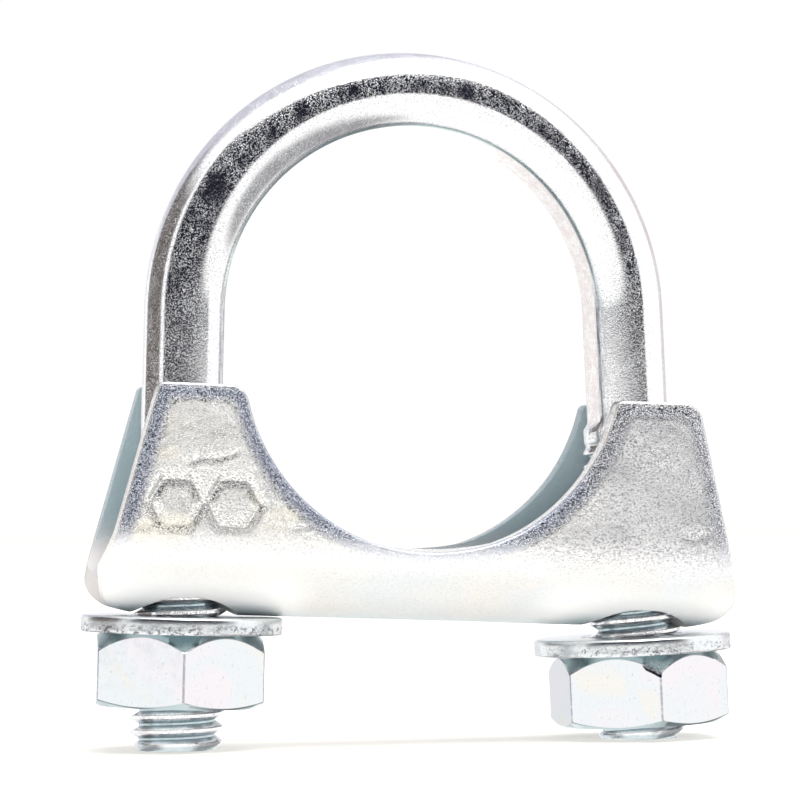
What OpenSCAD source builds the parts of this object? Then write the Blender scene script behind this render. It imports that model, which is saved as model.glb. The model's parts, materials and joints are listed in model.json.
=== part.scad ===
// Saddle clamp for a 38 mm pipe: a bent rod with a threaded leg at each end, a pressed
// saddle that slides on the legs, and a plain washer and a hexagon nut under each side.
// Millimetres, +Z up towards the top of the arch, X across the legs, Y along the pipe.
// The origin is the centre of the pipe seat inside the arch.

/* [Bent rod] */
// Radius of the pipe seat, the flattened inner side of the arch
seat_r = 19.7; // [17:0.1:22]
// Diameter of the plain rod
rod_d = 9; // [8.6:0.1:9.4]
// Depth by which the rod's inner side is flattened
flat_depth = 1; // [0.6:0.1:1.4]
// Outward lean of each leg, in degrees
leg_splay = 2; // [1:0.5:3]
// Height of the flat leg ends below the seat centre
leg_drop = 44.4; // [43:0.1:48]
// Length of rod, up from the leg ends, that the thread covers
thread_run = 32; // [28:1:34]

/* [Thread] */
// Diameter over the thread crests, which are rolled a little short of a full M10
thread_d = 9.5; // [9.4:0.05:9.8]
// Thread pitch
pitch = 1.5; // [1.25:0.25:1.75]
// Gap between the thread crests and the nut's bore, on the radius
nut_gap = 0.05; // [0.02:0.01:0.1]

/* [Saddle] */
// Distance over the saddle's two upright flanges
saddle_w = 16.6; // [16.4:0.1:18]
// Thickness of the pressed sheet
sheet_t = 3; // [2.5:0.1:3]
// Length of the saddle along its straight underside, before its ends are rounded
saddle_l = 68.6; // [66:0.2:72]
// Length of the saddle from ear tip to ear tip
ear_l = 56.8; // [55:0.2:60]
// Height of the ears above the underside
ear_h = 23.5; // [22:0.1:25]
// Radius of the pipe notch between the ears
notch_r = 19.85; // [19:0.05:20]
// Height of the notch's centre above the underside
notch_h = 26.9; // [26:0.1:28]
// Radius of the left-hand corner of each ear
ear_left_r = 0.8; // [0.5:0.1:2]
// Radius of the right-hand corner of each ear
ear_right_r = 2.2; // [1:0.1:2.4]
// Radius of the saddle's lower end corners
foot_r = 2.6; // [1:0.1:3]
// Spacing of the two leg slots
slot_spacing = 48.1; // [48:0.1:48.2]
// Length of each leg slot
slot_l = 11.4; // [11.2:0.1:12]
// Width of each leg slot
slot_w = 10.1; // [10:0.1:10.3]
// Tilt of the saddle on the legs, right side down, in degrees
saddle_tilt = 2.6; // [2.2:0.2:3.2]
// Height of the saddle's underside below the seat centre, half way between the legs
saddle_drop = 31.6; // [31:0.1:31.8]

/* [Washers and nuts] */
// Outer diameter of a washer
washer_d = 20.8; // [20:0.1:21]
// Thickness of a washer
washer_t = 1.8; // [1.6:0.1:2]
// Diameter of a washer's hole
washer_hole = 10.6; // [10.4:0.1:11]
// How far the left washer rests to the right of its leg's axis
left_washer_shift = 0.25; // [-0.4:0.05:0.4]
// How far the right washer rests to the right of its leg's axis
right_washer_shift = -0.4; // [-0.4:0.05:0.4]
// Width across the flats of a nut
nut_af = 17; // [16:0.1:17]
// Height of a nut
nut_h = 7.5; // [7.2:0.1:8]
// Slope of the chamfer on a nut's upper corners, in degrees
nut_top_slope = 50; // [25:1:55]
// Slope of the chamfer on a nut's lower corners, in degrees
nut_low_slope = 27; // [20:1:45]
// Turn of the left nut from a corner facing the front, in degrees
left_nut_turn = -6; // [-30:1:30]
// Turn of the right nut from a corner facing the front, in degrees
right_nut_turn = -2; // [-30:1:30]

/* [Hidden] */
$fn = 96;
LEFT = -1;
RIGHT = 1;
rod_r = rod_d / 2;
thread_r = thread_d / 2;
arch_r = seat_r + rod_r - flat_depth;          // radius of the arch's centre line
thread_depth = 0.57 * pitch;                   // depth of a groove between two crests
crest_w = pitch / 8;                           // flat left on each crest
end_chamfer = 0.8;                             // chamfer round a leg's end
flat_drop = 11.6;                              // how far below the seat centre the flat runs
nut_face_edge = 0.2;                           // how far a nut's end faces stop inside its flats
lap = 0.4;                                     // how far a leg runs up inside the arch
lap_step = 0.01;                               // keeps that length inside the curved rod
rest_gap = 0.06;                               // saddle to washer
face_gap = 0.02;                               // washer to nut
sin_splay = sin(leg_splay);
cos_splay = cos(leg_splay);
tan_splay = tan(leg_splay);
leg_l = (leg_drop + arch_r * sin_splay) / cos_splay;
zinc = [0.80, 0.82, 0.83];
pale_zinc = [0.86, 0.88, 0.89];
washer_r = washer_d / 2;

// Distance down a leg, from the arch's end, of a point at height z on the leg's axis
function down_leg(z) = (arch_r * sin_splay - z) / cos_splay;

// Sideways rest of a washer, which is loose on its leg
function washer_shift(side) = side == LEFT ? left_washer_shift : right_washer_shift;

// Height on a leg's axis of the washer's top face, whose right rim meets the tilted underside
function washer_height(side) =
    (-saddle_drop - side * tan(saddle_tilt) * arch_r / cos_splay
        - (washer_r + washer_shift(side)) * (cos_splay * tan(saddle_tilt) + side * sin_splay)
        - rest_gap)
    / (1 - side * tan_splay * tan(saddle_tilt));

// Places its children on a leg: the axis is Z, and the arch's end is at the origin
module on_leg(side) {
    translate([side * arch_r * cos_splay, 0, arch_r * sin_splay])
        rotate([0, -side * leg_splay, 0])
            children();
}

// ---- bent rod ----

// Rod's section across the arch, with its inner side flattened
module arch_section() {
    difference() {
        translate([arch_r, 0])
            circle(r = rod_r);
        translate([0, -rod_d])
            square([seat_r, 2 * rod_d]);
    }
}

// Arch between the two legs
module arch() {
    rotate([90, 0, 0])
        rotate_extrude(angle = 180 - 2 * leg_splay, start = leg_splay)
            arch_section();
}

// One groove of the thread, a V turned round the leg
module thread_groove() {
    rotate_extrude()
        polygon([
            [thread_r - thread_depth, -crest_w / 2],
            [thread_r + 0.1, -(pitch - crest_w) / 2 - 0.03],
            [thread_r + 0.1, (pitch - crest_w) / 2 + 0.03],
            [thread_r - thread_depth, crest_w / 2]
        ]);
}

// Threaded length of a leg, with its top run-out and its chamfered end
module threaded_end() {
    top = thread_run;
    bite = thread_depth + 0.2;
    difference() {
        rotate_extrude()
            polygon([
                [0, -1],
                [thread_r - end_chamfer - 1, -1],
                [thread_r, end_chamfer],
                [thread_r, top - 1],
                [thread_r - bite, top - 1 + bite],
                [0, top - 1 + bite]
            ]);
        for (z = [pitch : pitch : top - pitch])
            translate([0, 0, z])
                thread_groove();
    }
}

// One leg, plain and flattened at the top, threaded below
module leg(side) {
    on_leg(side) {
        difference() {
            translate([0, 0, -leg_l + thread_run - 2])
                cylinder(r = rod_r - lap_step, h = leg_l - thread_run + 2 + lap);
            translate([side * (seat_r - arch_r - rod_r + lap_step), 0, rod_d - down_leg(-flat_drop)])
                cube([rod_d, rod_d, 2 * rod_d], center = true);
        }
        translate([0, 0, -leg_l])
            threaded_end();
    }
}

// Bent rod, its two ends cut off level
module u_bolt() {
    color(zinc)
        difference() {
            union() {
                arch();
                leg(LEFT);
                leg(RIGHT);
            }
            translate([0, 0, -leg_drop - 5])
                cube([4 * arch_r, 4 * rod_d, 10], center = true);
        }
}

// ---- saddle ----

// Channel section: a half-round web with two upright flanges
module channel_section() {
    outer = saddle_w / 2;
    inner = outer - sheet_t;
    difference() {
        union() {
            translate([0, outer])
                circle(r = outer);
            translate([-outer, outer])
                square([saddle_w, ear_h]);
        }
        translate([0, outer])
            circle(r = inner);
        translate([-inner, outer])
            square([2 * inner, ear_h + 1]);
    }
}

// Centre of the circle of radius r that rounds the corner b between a and c
function corner_centre(a, b, c, r) =
    let (u = (a - b) / norm(a - b), v = (c - b) / norm(c - b), m = u + v)
    b + m / norm(m) * r / sqrt((1 - u * v) / 2);

// Point of the line from b to a that is closest to p
function foot_on(a, b, p) =
    let (u = (a - b) / norm(a - b))
    b + u * ((p - b) * u);

// Filled outline with a radius at each corner
module rounded_outline(points, radii) {
    n = len(points);
    centres = [for (i = [0 : n - 1])
        corner_centre(points[(i + n - 1) % n], points[i], points[(i + 1) % n], radii[i])];
    polygon([for (i = [0 : n - 1], next = [n - 1, 1])
        foot_on(points[(i + next) % n], points[i], centres[i])]);
    for (i = [0 : n - 1])
        translate(centres[i])
            circle(r = radii[i]);
}

// What is cut away to round an ear's inner corner, on the left (-1) or right (1) ear
module inner_corner_cut(side, r) {
    rise = notch_h - ear_h + r;
    x = side * sqrt(pow(notch_r + r, 2) - rise * rise);
    centre = [x, ear_h - r];
    touch = [0, notch_h] + (centre - [0, notch_h]) * notch_r / (notch_r + r);
    difference() {
        polygon([centre, [x, ear_h + 1], [0, ear_h + 1], [0, notch_h - notch_r / 2], touch]);
        translate(centre)
            circle(r = r);
    }
}

// Saddle seen from the front: tapered ears with the pipe notch between them
module saddle_outline() {
    half = saddle_l / 2;
    tip = ear_l / 2;
    difference() {
        rounded_outline(
            [[-half, 0], [half, 0], [tip, ear_h], [-tip, ear_h]],
            [foot_r, foot_r, ear_right_r, ear_left_r]);
        translate([0, notch_h])
            circle(r = notch_r);
        inner_corner_cut(LEFT, ear_right_r);
        inner_corner_cut(RIGHT, ear_left_r);
    }
}

// Slot through the web for a leg, long enough for the legs' spread
module leg_slot() {
    r = slot_w / 2;
    reach = slot_l / 2 - r;
    for (x = [-reach, reach])
        translate([x, 0, -1])
            cylinder(r = r, h = ear_h + 2);
    translate([-reach, -r, -1])
        cube([2 * reach, 2 * r, ear_h + 2]);
}

// Pressed saddle, tilted on the legs
module saddle() {
    color(pale_zinc)
        translate([0, 0, -saddle_drop])
            rotate([0, saddle_tilt, 0])
                difference() {
                    intersection() {
                        translate([-saddle_l, 0, 0])
                            rotate([90, 0, 90])
                                linear_extrude(2 * saddle_l)
                                    channel_section();
                        translate([0, saddle_w, 0])
                            rotate([90, 0, 0])
                                linear_extrude(2 * saddle_w)
                                    saddle_outline();
                    }
                    for (side = [LEFT, RIGHT])
                        translate([side * slot_spacing / 2, 0, 0])
                            leg_slot();
                }
}

// ---- washers and nuts ----

// Flat washer with slightly broken edges, its top face up the leg
module washer(side) {
    edge = 0.2;
    hole_r = washer_hole / 2;
    on_leg(side)
        translate([washer_shift(side), 0, -down_leg(washer_height(side)) - washer_t])
            color(zinc)
                rotate_extrude()
                    polygon([
                        [hole_r, 0],
                        [washer_r - edge, 0],
                        [washer_r, edge],
                        [washer_r, washer_t - edge],
                        [washer_r - edge, washer_t],
                        [hole_r, washer_t]
                    ]);
}

// Hexagon nut, its corners chamfered top and bottom, with a countersunk bore
module nut(side, turn) {
    corner_r = nut_af / 2 / cos(30);
    face_r = nut_af / 2 - nut_face_edge;
    low_drop = (corner_r - face_r) * tan(nut_low_slope);
    top_drop = (corner_r - face_r) * tan(nut_top_slope);
    bore_r = thread_r + nut_gap;
    sink = 0.6;
    on_leg(side)
        translate([0, 0, -down_leg(washer_height(side)) - washer_t - face_gap - nut_h])
            color(pale_zinc)
                intersection() {
                    rotate([0, 0, turn - 90])
                        cylinder(r = corner_r, h = nut_h, $fn = 6);
                    rotate_extrude()
                        polygon([
                            [bore_r + sink, 0],
                            [face_r, 0],
                            [corner_r + 0.01, low_drop],
                            [corner_r + 0.01, nut_h - top_drop],
                            [face_r, nut_h],
                            [bore_r + sink, nut_h],
                            [bore_r, nut_h - sink],
                            [bore_r, sink]
                        ]);
                }
}

module left_washer() { washer(LEFT); }
module right_washer() { washer(RIGHT); }
module left_nut() { nut(LEFT, left_nut_turn); }
module right_nut() { nut(RIGHT, right_nut_turn); }

u_bolt();
saddle();
left_washer();
right_washer();
left_nut();
right_nut();
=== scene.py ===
"""Looks of the saddle clamp: a bent zinc-plated rod with rolled threads, a pressed saddle,
two washers and two nuts. Lengths are millimetres until mesh_piece turns them into metres."""

import json
import math

import bmesh
import bpy
import numpy as np
from mathutils import Matrix, Vector, noise


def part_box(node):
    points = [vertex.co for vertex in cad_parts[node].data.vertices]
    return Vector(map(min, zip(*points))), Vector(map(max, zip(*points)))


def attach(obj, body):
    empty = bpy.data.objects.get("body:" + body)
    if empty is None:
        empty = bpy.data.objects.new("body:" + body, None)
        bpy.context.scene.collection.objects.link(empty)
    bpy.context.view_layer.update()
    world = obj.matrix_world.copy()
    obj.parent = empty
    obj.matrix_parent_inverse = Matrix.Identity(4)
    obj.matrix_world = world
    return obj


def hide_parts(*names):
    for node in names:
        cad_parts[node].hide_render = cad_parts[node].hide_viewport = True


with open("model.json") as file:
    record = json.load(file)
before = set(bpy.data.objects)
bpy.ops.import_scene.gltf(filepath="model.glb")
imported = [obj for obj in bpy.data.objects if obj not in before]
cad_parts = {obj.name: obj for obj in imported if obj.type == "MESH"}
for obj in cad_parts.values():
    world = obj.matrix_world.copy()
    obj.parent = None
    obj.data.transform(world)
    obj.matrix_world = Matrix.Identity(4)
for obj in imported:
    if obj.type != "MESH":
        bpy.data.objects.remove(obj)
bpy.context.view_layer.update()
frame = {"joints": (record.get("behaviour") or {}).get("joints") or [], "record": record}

# ---- sizes, in millimetres ----

MM = 0.001
joints = {joint["name"]: joint for joint in frame["joints"]}
couplings = {c["joint"]: c["ratio"] for c in frame["record"]["behaviour"]["couplings"]}
mounts = {mount["name"]: mount for mount in frame["record"]["mounts"]}


def cad_box(node):
    """Lowest and highest corner of a CAD node, and its size, in millimetres."""
    low, high = (np.array(corner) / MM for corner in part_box(node))
    return low, high, high - low


rod_low, rod_high, rod_size = cad_box("u_bolt")
ARCH_R = np.linalg.norm(joints["left_nut_turn"]["pos_m"]) / MM
LEG_LEAN = math.asin(joints["left_nut_turn"]["axis"][0])
SEAT_R = mounts["pipe_seat"]["dims"]["r_mm"]
ARCH_INSET = 0.004
ROD_R = rod_high[2] - ARCH_R - ARCH_INSET
FLAT_IN = ARCH_R - SEAT_R
THREAD_R = rod_size[1] / 2
PITCH = 2 * math.pi * couplings["left_washer_slide"] / couplings["left_nut_turn"] / MM
FOOT_Z = rod_low[2]
THREAD_RUN = 32.0
CREST_HALF = PITCH / 8
ROOT_HALF = PITCH / 16
FLANK = PITCH / 2 - CREST_HALF - ROOT_HALF
THREAD_DEPTH = FLANK / math.tan(math.radians(30))
RUN_OUT = (THREAD_RUN - 2.2 * PITCH, THREAD_RUN - 0.2)
END_CHAMFER = 0.8
END_SLOPE = 0.9
END_SPARE = 0.4
END_DISH = 0.06
LEG_L = (-FOOT_Z + ARCH_R * math.sin(LEG_LEAN)) / math.cos(LEG_LEAN)
FLAT_DROP = 12.2
FLAT_FADE = 1.2
FLAT_EDGE_R = 0.4

SHEET_T = 3.0
SADDLE_W = 16.6
SADDLE_L = 68.6
EAR_L = 56.8
EAR_H = 23.5
NOTCH_R = 19.85
NOTCH_H = 26.9
EAR_LEFT_R = 0.8
EAR_RIGHT_R = 2.2
SADDLE_FOOT_R = 2.6
SLOT_SPACING = 48.1
SLOT_L = 11.4
SLOT_W = 10.1
SADDLE_TILT = math.radians(2.6)
SADDLE_DROP = 31.6
BEND_R = SADDLE_W / 2

WASHER_HOLE_R = 5.3
NUT_H = 7.5
NUT_AF = 17.0
NUT_TURNS = {"left": math.radians(-6), "right": math.radians(-2)}
NUT_SINK_R = 5.4
NUT_SINK_H = 0.6
NUT_MINOR_R = 4.2
THREAD_PLAY = 0.07

SIDES = {"left": -1, "right": 1}


# ---- mesh helpers ----

class Shell:
    """Points and faces of one piece, with named values at its points."""

    def __init__(self, *marks):
        self.points = []
        self.faces = []
        self.marks = {name: [] for name in marks}

    def add(self, points, **values):
        """Adds points and returns their indices. Marks that aren't given are 0."""
        first = len(self.points)
        self.points.extend(tuple(point) for point in points)
        count = len(self.points) - first
        for name, stored in self.marks.items():
            stored.extend(np.broadcast_to(values.get(name, 0.0), count))
        return np.arange(first, len(self.points))

    def face(self, *corners):
        """Adds a face without repeated corners, or nothing if fewer than three are left."""
        kept = [c for k, c in enumerate(corners) if c != corners[k - 1]]
        if len(kept) > 2:
            self.faces.append(tuple(int(c) for c in kept))

    def bridge(self, ring_a, ring_b):
        """Joins two closed rings of equal length."""
        for k in range(len(ring_a)):
            self.face(ring_a[k - 1], ring_a[k], ring_b[k], ring_b[k - 1])

    def cap(self, ring, centre):
        """Closes a ring with a fan about a centre point."""
        middle = self.add([centre])[0]
        for k in range(len(ring)):
            self.face(ring[k - 1], ring[k], middle)


def smooth_step(x, low, high):
    """0 below low, 1 above high, smooth between them."""
    t = np.clip((np.asarray(x, float) - low) / (high - low), 0, 1)
    return t * t * (3 - 2 * t)


def leg_matrix(side):
    """Frame of a leg: Z up its axis, origin at the arch's end."""
    joint = joints[f"{side}_nut_turn"]
    up = Vector(joint["axis"])
    across = Vector((0, 1, 0)).cross(up)
    turn = Matrix((across, (0, 1, 0), up)).transposed().to_4x4()
    return Matrix.Translation(Vector(joint["pos_m"]) / MM) @ turn


def leg_point(side, node):
    """Centre of a node's box in its leg's frame."""
    low, high, _ = cad_box(node)
    return leg_matrix(side).inverted() @ Vector((low + high) / 2)


def close_up(mesh):
    """Merges repeated points and turns all faces outwards."""
    form = bmesh.new()
    form.from_mesh(mesh)
    bmesh.ops.remove_doubles(form, verts=form.verts, dist=1e-8)
    bmesh.ops.recalc_face_normals(form, faces=form.faces)
    form.to_mesh(mesh)
    form.free()


def shade(mesh, sharp):
    """Smooth shading, with edges sharper than an angle in degrees left sharp."""
    mesh.shade_smooth()
    mesh.set_sharp_from_angle(angle=math.radians(sharp))


def mesh_piece(name, shell, body, node, material, matrix=None, sharp=32.0):
    """Makes the piece that stands for a CAD node and rides on its body."""
    mesh = bpy.data.meshes.new(name)
    mesh.from_pydata(shell.points, [], shell.faces)
    to_metres = Matrix.Scale(MM, 4)
    mesh.transform(to_metres @ (matrix or Matrix.Identity(4)))
    for mark, values in shell.marks.items():
        stored = mesh.attributes.new(mark, "FLOAT", "POINT")
        stored.data.foreach_set("value", np.array(values, np.float32))
    close_up(mesh)
    shade(mesh, sharp)
    mesh.materials.append(material)
    piece = bpy.data.objects.new(name, mesh)
    bpy.context.scene.collection.objects.link(piece)
    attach(piece, body)
    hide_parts(node)
    return piece


# ---- rolled thread ----

HALF_ROWS = [
    0,
    ROOT_HALF,
    ROOT_HALF + 0.5 * FLANK,
    ROOT_HALF + 0.92 * FLANK,
    ROOT_HALF + 1.08 * FLANK,
    PITCH / 2,
]
THREAD_ROWS = HALF_ROWS + [PITCH - row for row in HALF_ROWS[-2:0:-1]]


def thread_radius(along):
    """Radius of the rod's thread at a distance along the leg from a groove's middle."""
    off = np.abs((along + PITCH / 2) % PITCH - PITCH / 2)
    climb = np.clip((off - ROOT_HALF) / FLANK, -0.1, 1.1)
    climb = np.where(climb > 0.9, 1 - (1.1 - climb) ** 2 * 2.5, climb)
    return THREAD_R - THREAD_DEPTH * (1 - np.maximum(climb, 0))


def thread_wall(shell, turns, hand, low, high, radius):
    """Helical wall between two levels. turns are the columns' angles about the axis, in order,
    hand is 1 where they rise and -1 where they fall. Returns the bottom and the top ring."""
    rows = len(THREAD_ROWS)
    first = math.floor(low / PITCH) - 2
    last = math.ceil(high / PITCH) + 2
    starts = np.array([PITCH * k + row for k in range(first, last) for row in THREAD_ROWS])
    heights = starts[None, :] + PITCH * turns[:, None] / (2 * math.pi)
    spread = np.broadcast_to(turns[:, None], heights.shape)
    inside = (heights > low) & (heights < high)

    def place(angle, height, along):
        r = radius(height, along)
        points = np.stack([r * np.cos(angle), r * np.sin(angle), height], axis=-1)
        # The groove value, 0 at the crest and 1 at the root, also sets the rod's painted shade.
        return shell.add(points, groove=np.clip((THREAD_R - r) / THREAD_DEPTH, 0, 1))

    def level_ring(height):
        level = np.full(len(turns), float(height))
        return place(turns, level, level - PITCH * turns / (2 * math.pi))

    bottom = level_ring(low)
    top = level_ring(high)
    index = np.where(heights <= low, bottom[:, None], top[:, None])
    along = np.broadcast_to(starts[None, :], heights.shape)
    index[inside] = place(spread[inside], heights[inside], along[inside])

    def corner(column, row):
        if column == len(turns):
            column = 0
            row += hand * rows
        if row < 0:
            return bottom[column]
        if row >= len(starts):
            return top[column]
        return index[column, row]

    for column in range(len(turns)):
        for row in range(-1, len(starts)):
            shell.face(
                corner(column, row),
                corner(column + 1, row),
                corner(column + 1, row + 1),
                corner(column, row + 1),
            )
    return bottom, top


# ---- bent rod ----

ROD_COLUMNS = 96
ARCH_ROWS = 260
LEG_ROW_STEP = 0.35
TICK_STEP = 1.05
TICK_DEPTH = 0.045
FLAT_HALF = math.sqrt(ROD_R ** 2 - FLAT_IN ** 2)
# Place and width of the painted dark reflection along the flat's edges.
EDGE_SHIFT = 0.1
EDGE_WIDTH = 0.26


def rod_angles():
    """Angles round the rod's section, with extra columns at the flat's two edges."""
    even = np.linspace(0, 2 * math.pi, ROD_COLUMNS, endpoint=False)
    edge = math.acos(-FLAT_IN / ROD_R)
    near = np.radians([-3.2, -1.6, 0, 1.6, 3.2])
    extra = np.concatenate([edge + near, 2 * math.pi - edge + near])
    clear = [a for a in even if np.min(np.abs(extra - a)) > math.radians(1.2)]
    return np.sort(np.concatenate([clear, extra]))


def rod_section(angles, depth, ripple):
    """Section of the rod: outward distance from the centre line, and distance along Y."""
    out = ROD_R * np.cos(angles)
    across = ROD_R * np.sin(angles)
    if depth < 0.01:
        return out, across
    floor = -ROD_R + depth + ripple * smooth_step(across, -0.3, 1.2)
    blend = FLAT_EDGE_R * min(1.0, depth / 0.3)
    gap = out - floor
    return floor + 0.5 * (gap + np.sqrt(gap * gap + (0.5 * blend) ** 2)), across


def leg_heights():
    """Heights on a leg's axis of the plain rod's rings, from the thread's top to the arch."""
    count = math.ceil((LEG_L - THREAD_RUN) / LEG_ROW_STEP)
    return np.linspace(THREAD_RUN - LEG_L, 0, count + 1)


def flat_depth_at(drop):
    """Depth of the flat at a distance below the arch's end."""
    fade = smooth_step(-drop, -FLAT_DROP - FLAT_FADE / 2, -FLAT_DROP + FLAT_FADE / 2)
    return (ROD_R - FLAT_IN) * fade


def tick_at(path, where):
    """Shallow tool marks across the flat, deeper in some stretches than in others."""
    wave = 0.5 + 0.5 * math.cos(2 * math.pi * path / TICK_STEP)
    patch = noise.noise(Vector((path * 0.12, where, 3.7)))
    return TICK_DEPTH * wave ** 3 * max(0.0, 0.55 + patch)


# Painted shade at the leg ends: how far up from the cut it reaches, and its groove value.
END_SHADE_REACH = 0.5
END_SHADE = 0.8


def rod_end(shell, side, angles):
    """Threaded end of one leg, cut off level. Returns its top ring."""
    sign = SIDES[side]
    turns = angles if sign > 0 else math.pi - angles
    matrix = leg_matrix(side)

    def radius(height, along):
        rise = height + LEG_L
        worn = 1 - smooth_step(rise, *RUN_OUT)
        r = ROD_R + (thread_radius(along) - ROD_R) * worn
        return np.minimum(r, THREAD_R - END_CHAMFER + np.maximum(rise, 0) * END_SLOPE)

    start = len(shell.points)
    low, high = -LEG_L - END_SPARE, THREAD_RUN - LEG_L
    bottom, top = thread_wall(shell, turns, sign, low, high, radius)
    for k in range(start, len(shell.points)):
        point = matrix @ Vector(shell.points[k])
        point.z = max(point.z, FOOT_Z)
        shell.points[k] = tuple(point)
        # Painted shade: points near the cut end get a high groove value, which the material turns
        # blue-grey.
        if point.z < FOOT_Z + END_SHADE_REACH:
            shell.marks["groove"][k] = END_SHADE
    rim = np.array([shell.points[k] for k in bottom])
    centre = rim.mean(axis=0)
    dish = np.array([0, 0, END_DISH])
    # The end face gets the same painted shade.
    inner = shell.add(centre + (rim - centre) * 0.8 + dish * 2 / 3, groove=END_SHADE)
    shell.bridge(bottom, inner)
    shell.cap(inner, centre + dish)
    return top


def build_rod(material):
    """Bent rod with its flattened inner side, tool marks and two threaded ends."""
    shell = Shell("groove", "edge", "flat", "leg")
    angles = rod_angles()
    ring = rod_end(shell, "right", angles)
    heights = leg_heights()

    def section_ring(centre, outward, depth, path, leg=1.0):
        ripple = tick_at(path, centre[0]) * depth / (ROD_R - FLAT_IN)
        out, across = rod_section(angles, depth, ripple)
        points = centre + out[:, None] * outward + across[:, None] * np.array([0, 1, 0])
        share = depth / (ROD_R - FLAT_IN)
        # Painted dark reflection along the flat's edges, wider and darker on the legs.
        wide = EDGE_WIDTH * (1 + 0.8 * leg)
        edge = np.exp(-((np.abs(across) - FLAT_HALF - EDGE_SHIFT) / wide) ** 2) * (out < 0)
        flat = (np.abs(across) < FLAT_HALF) * (out < 0)
        return shell.add(points, edge=share * edge, flat=share * flat, leg=leg)

    path = 0.0
    for side, levels in (("right", heights[1:]), ("left", heights[::-1][:-1])):
        sign = SIDES[side]
        matrix = leg_matrix(side)
        outward = np.array(matrix.to_3x3() @ Vector((sign, 0, 0)))
        if side == "left":
            for bend in np.linspace(LEG_LEAN, math.pi - LEG_LEAN, ARCH_ROWS)[1:-1]:
                direction = np.array([math.cos(bend), 0, math.sin(bend)])
                path = SEAT_R * bend
                leg = 1 - smooth_step(direction[2], 0.0, 0.35)
                new = section_ring(ARCH_R * direction, direction, ROD_R - FLAT_IN, path, leg)
                shell.bridge(ring, new)
                ring = new
        for level in levels:
            centre = np.array(matrix @ Vector((0, 0, level)))
            along = level if side == "right" else SEAT_R * math.pi - level
            new = section_ring(centre, outward, flat_depth_at(-level), along)
            shell.bridge(ring, new)
            ring = new
    last = rod_end(shell, "left", angles)
    shell.bridge(ring, last)
    return mesh_piece("bent_rod", shell, "rod", "u_bolt", material)


# ---- pressed saddle ----

SADDLE_COLUMNS = 300
SADDLE_ROWS = 190
EDGE_R = 0.42
EDGE_R_INNER = 0.15
ROLL_W = 1.5
ROLL_DEPTH = 0.29
ROLL_SHAPE = 1.5
WEB_ARC = BEND_R * math.pi / 2


def unrolled(height):
    """Distance round the outside of the channel from its lowest line to a height."""
    height = np.asarray(height, float)
    low = BEND_R * np.arccos(np.clip(1 - height / BEND_R, -1, 1))
    return np.where(height < BEND_R, low, WEB_ARC + height - BEND_R)


def arc(centre, radius, start, end, step=0.12):
    """Points along an arc, angles in radians, from start to end."""
    count = max(3, math.ceil(abs(end - start) * radius / step))
    turn = np.linspace(start, end, count + 1)
    return np.stack([centre[0] + radius * np.cos(turn), centre[1] + radius * np.sin(turn)], 1)


def line(a, b, step=0.15):
    """Points along a straight line."""
    count = max(2, math.ceil(math.dist(a, b) / step))
    return np.linspace(a, b, count + 1)


def corner_arc(before, corner, after, radius):
    """Arc that rounds a corner of an outline, from the side before it to the side after."""
    u = np.subtract(before, corner) / math.dist(before, corner)
    v = np.subtract(after, corner) / math.dist(after, corner)
    middle = (u + v) / np.linalg.norm(u + v)
    centre = corner + middle * radius / math.sqrt((1 - u @ v) / 2)
    first = corner + u * ((centre - corner) @ u) - centre
    last = corner + v * ((centre - corner) @ v) - centre
    start = math.atan2(first[1], first[0])
    turn = math.atan2(first[0] * last[1] - first[1] * last[0], first @ last)
    return arc(centre, radius, start, start + turn)


def notch_corner(side, radius):
    """Arc from an ear's top down into the notch, from its middle outwards to the top line."""
    rise = NOTCH_H - EAR_H + radius
    x = side * math.sqrt((NOTCH_R + radius) ** 2 - rise * rise)
    centre = (x, EAR_H - radius)
    towards = math.atan2(NOTCH_H - centre[1], -x)
    return arc(centre, radius, math.pi / 2, towards)


def saddle_sides():
    """Left, top and right outlines of the saddle's front, as (x, height) points."""
    half = SADDLE_L / 2
    tip = EAR_L / 2
    foot_l, foot_r = np.array([-half, 0.0]), np.array([half, 0.0])
    tip_l, tip_r = np.array([-tip, EAR_H]), np.array([tip, EAR_H])
    top_l = corner_arc(foot_l, tip_l, tip_r, EAR_LEFT_R)
    top_r = corner_arc(tip_l, tip_r, foot_r, EAR_RIGHT_R)
    half_l, half_r = len(top_l) // 2, len(top_r) // 2
    low_l = corner_arc(foot_r, foot_l, tip_l, SADDLE_FOOT_R)
    low_r = corner_arc(foot_l, foot_r, tip_r, SADDLE_FOOT_R)
    inner_l = notch_corner(-1, EAR_RIGHT_R)
    inner_r = notch_corner(1, EAR_LEFT_R)[::-1]
    notch_middle = np.array([0, NOTCH_H])
    start, end = inner_l[-1] - notch_middle, inner_r[0] - notch_middle
    bottom = arc(
        notch_middle,
        NOTCH_R,
        math.atan2(start[1], start[0]),
        math.atan2(end[1], end[0]),
    )
    left = np.concatenate([low_l, line(low_l[-1], top_l[0]), top_l[: half_l + 1]])
    top = np.concatenate([
        top_l[half_l:],
        line(top_l[-1], inner_l[0]),
        inner_l,
        bottom,
        inner_r,
        line(inner_r[-1], top_r[0]),
        top_r[: half_r + 1],
    ])
    right = np.concatenate([low_r, line(low_r[-1], top_r[-1]), top_r[half_r:][::-1]])
    return left, top, right


def even_points(points, places):
    """Points at given fractions of an outline's length."""
    steps = np.linalg.norm(np.diff(points, axis=0), axis=1)
    keep = np.concatenate([[True], steps > 1e-6])
    points = points[keep]
    run = np.concatenate([[0], np.cumsum(np.linalg.norm(np.diff(points, axis=0), axis=1))])
    run /= run[-1]
    return np.stack([np.interp(places, run, points[:, k]) for k in range(2)], 1)


def crowded(count, strength):
    """Fractions from 0 to 1 that lie closer together at both ends."""
    t = np.linspace(0, 1, count)
    return t - strength * np.sin(2 * math.pi * t) / (2 * math.pi)


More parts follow.
